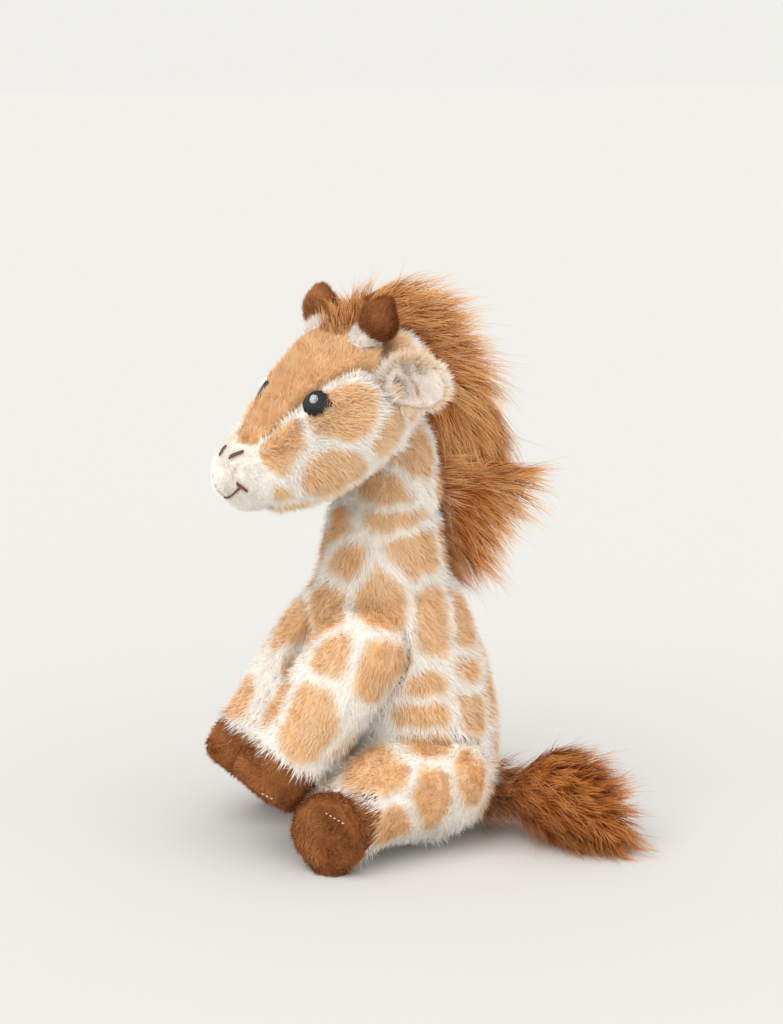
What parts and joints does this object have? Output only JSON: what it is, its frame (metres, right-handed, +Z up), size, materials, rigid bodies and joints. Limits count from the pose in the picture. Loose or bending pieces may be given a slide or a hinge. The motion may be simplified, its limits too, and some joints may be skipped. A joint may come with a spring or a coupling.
{
  "type": "plush giraffe",
  "caption": "Sitting plush giraffe with spotted short pile, long combed mane and tail tuft, brown hooves and horn tips, and an embroidered face.",
  "frame": {"origin": "middle of the seat panel's flat underside, on the floor that the toy sits on", "axes": "+Z up, -Y the way the body faces, +X the giraffe's left side"},
  "size_m": [0.1203, 0.1618, 0.2253],
  "materials": {
    "spotted_plush": "short plush pile, cream with printed tan patches",
    "tan_plush": "short tan plush pile",
    "cream_plush": "short cream plush pile",
    "brown_plush": "short brown plush pile",
    "long_hair": "long combed red-brown pile with lighter tips",
    "black_thread": "satin stitch embroidery",
    "brown_thread": "sewn thread",
    "polyester_filling": "soft fibre filling",
    "bean_bag_cloth": "plain woven cotton"
  },
  "bodies": {
    "torso": {"torso_panel_left": "spotted_plush", "torso_panel_right": "spotted_plush", "seat_panel": "cream_plush", "torso_stuffing": "polyester_filling", "seat_bean_bag": "bean_bag_cloth"},
    "neck": {"neck_panel_left": "spotted_plush", "neck_panel_right": "spotted_plush", "neck_stuffing": "polyester_filling", "neck_mane": "long_hair"},
    "head": {"head_side_left": "spotted_plush", "head_side_right": "spotted_plush", "forehead_gusset": "tan_plush", "muzzle_panel": "cream_plush", "chin_panel": "cream_plush", "head_stuffing": "polyester_filling", "head_mane": "long_hair", "eye_left": "black_thread", "nostril_left": "brown_thread", "eye_right": "black_thread", "nostril_right": "brown_thread", "mouth_stitch": "brown_thread", "horn_stem_left": "cream_plush", "horn_tip_left": "brown_plush", "horn_stem_right": "cream_plush", "horn_tip_right": "brown_plush"},
    "ear_left": {"ear_back_left": "spotted_plush", "ear_lining_left": "cream_plush"},
    "front_leg_left": {"front_skin_left": "spotted_plush", "front_hoof_left": "brown_plush", "front_sole_left": "brown_plush", "front_stuffing_left": "polyester_filling"},
    "hind_leg_left": {"hind_skin_left": "spotted_plush", "hind_hoof_left": "brown_plush", "hind_sole_left": "brown_plush", "hind_stuffing_left": "polyester_filling"},
    "ear_right": {"ear_back_right": "spotted_plush", "ear_lining_right": "cream_plush"},
    "front_leg_right": {"front_skin_right": "spotted_plush", "front_hoof_right": "brown_plush", "front_sole_right": "brown_plush", "front_stuffing_right": "polyester_filling"},
    "hind_leg_right": {"hind_skin_right": "spotted_plush", "hind_hoof_right": "brown_plush", "hind_sole_right": "brown_plush", "hind_stuffing_right": "polyester_filling"},
    "tail": {"tail_stem": "spotted_plush", "tail_tuft": "long_hair"}
  },
  "joints": [
    {"name": "neck_lean", "type": "hinge", "parent": "torso", "child": "neck", "pos_m": [0, -0.0145, 0.098], "axis": [1, 0, 0], "range_deg": [-6, 6], "stiffness_Nm_per_rad": 0.8},
    {"name": "head_turn", "type": "hinge", "parent": "neck", "child": "head", "pos_m": [0, -0.0115, 0.16], "axis": [0, 0, 1], "range_deg": [-53, 17], "stiffness_Nm_per_rad": 0.12},
    {"name": "ear_flop_left", "type": "hinge", "parent": "head", "child": "ear_left", "pos_m": [0.03456, -0.02078, 0.187], "axis": [0, 0, 1], "range_deg": [-18, 18], "stiffness_Nm_per_rad": 0.01},
    {"name": "ear_flop_right", "type": "hinge", "parent": "head", "child": "ear_right", "pos_m": [-0.02251, -0.03932, 0.187], "axis": [0, 0, 1], "range_deg": [-18, 18], "stiffness_Nm_per_rad": 0.01},
    {"name": "front_leg_lift_left", "type": "hinge", "parent": "torso", "child": "front_leg_left", "pos_m": [0.023, -0.03, 0.081], "axis": [-1, 0, 0], "range_deg": [0, 25], "stiffness_Nm_per_rad": 0.1},
    {"name": "front_leg_lift_right", "type": "hinge", "parent": "torso", "child": "front_leg_right", "pos_m": [-0.023, -0.03, 0.081], "axis": [-1, 0, 0], "range_deg": [0, 25], "stiffness_Nm_per_rad": 0.1},
    {"name": "hind_leg_spread_left", "type": "hinge", "parent": "torso", "child": "hind_leg_left", "pos_m": [0.0296, 0.005, 0.027], "axis": [0, 0, 1], "range_deg": [0, 20], "stiffness_Nm_per_rad": 0.1},
    {"name": "hind_leg_spread_right", "type": "hinge", "parent": "torso", "child": "hind_leg_right", "pos_m": [-0.0296, 0.005, 0.027], "axis": [0, 0, -1], "range_deg": [0, 20], "stiffness_Nm_per_rad": 0.1},
    {"name": "tail_wag", "type": "hinge", "parent": "torso", "child": "tail", "pos_m": [0.005, 0.026, 0.015], "axis": [0, 0, 1], "range_deg": [-20, 20], "stiffness_Nm_per_rad": 0.03}
  ]
}
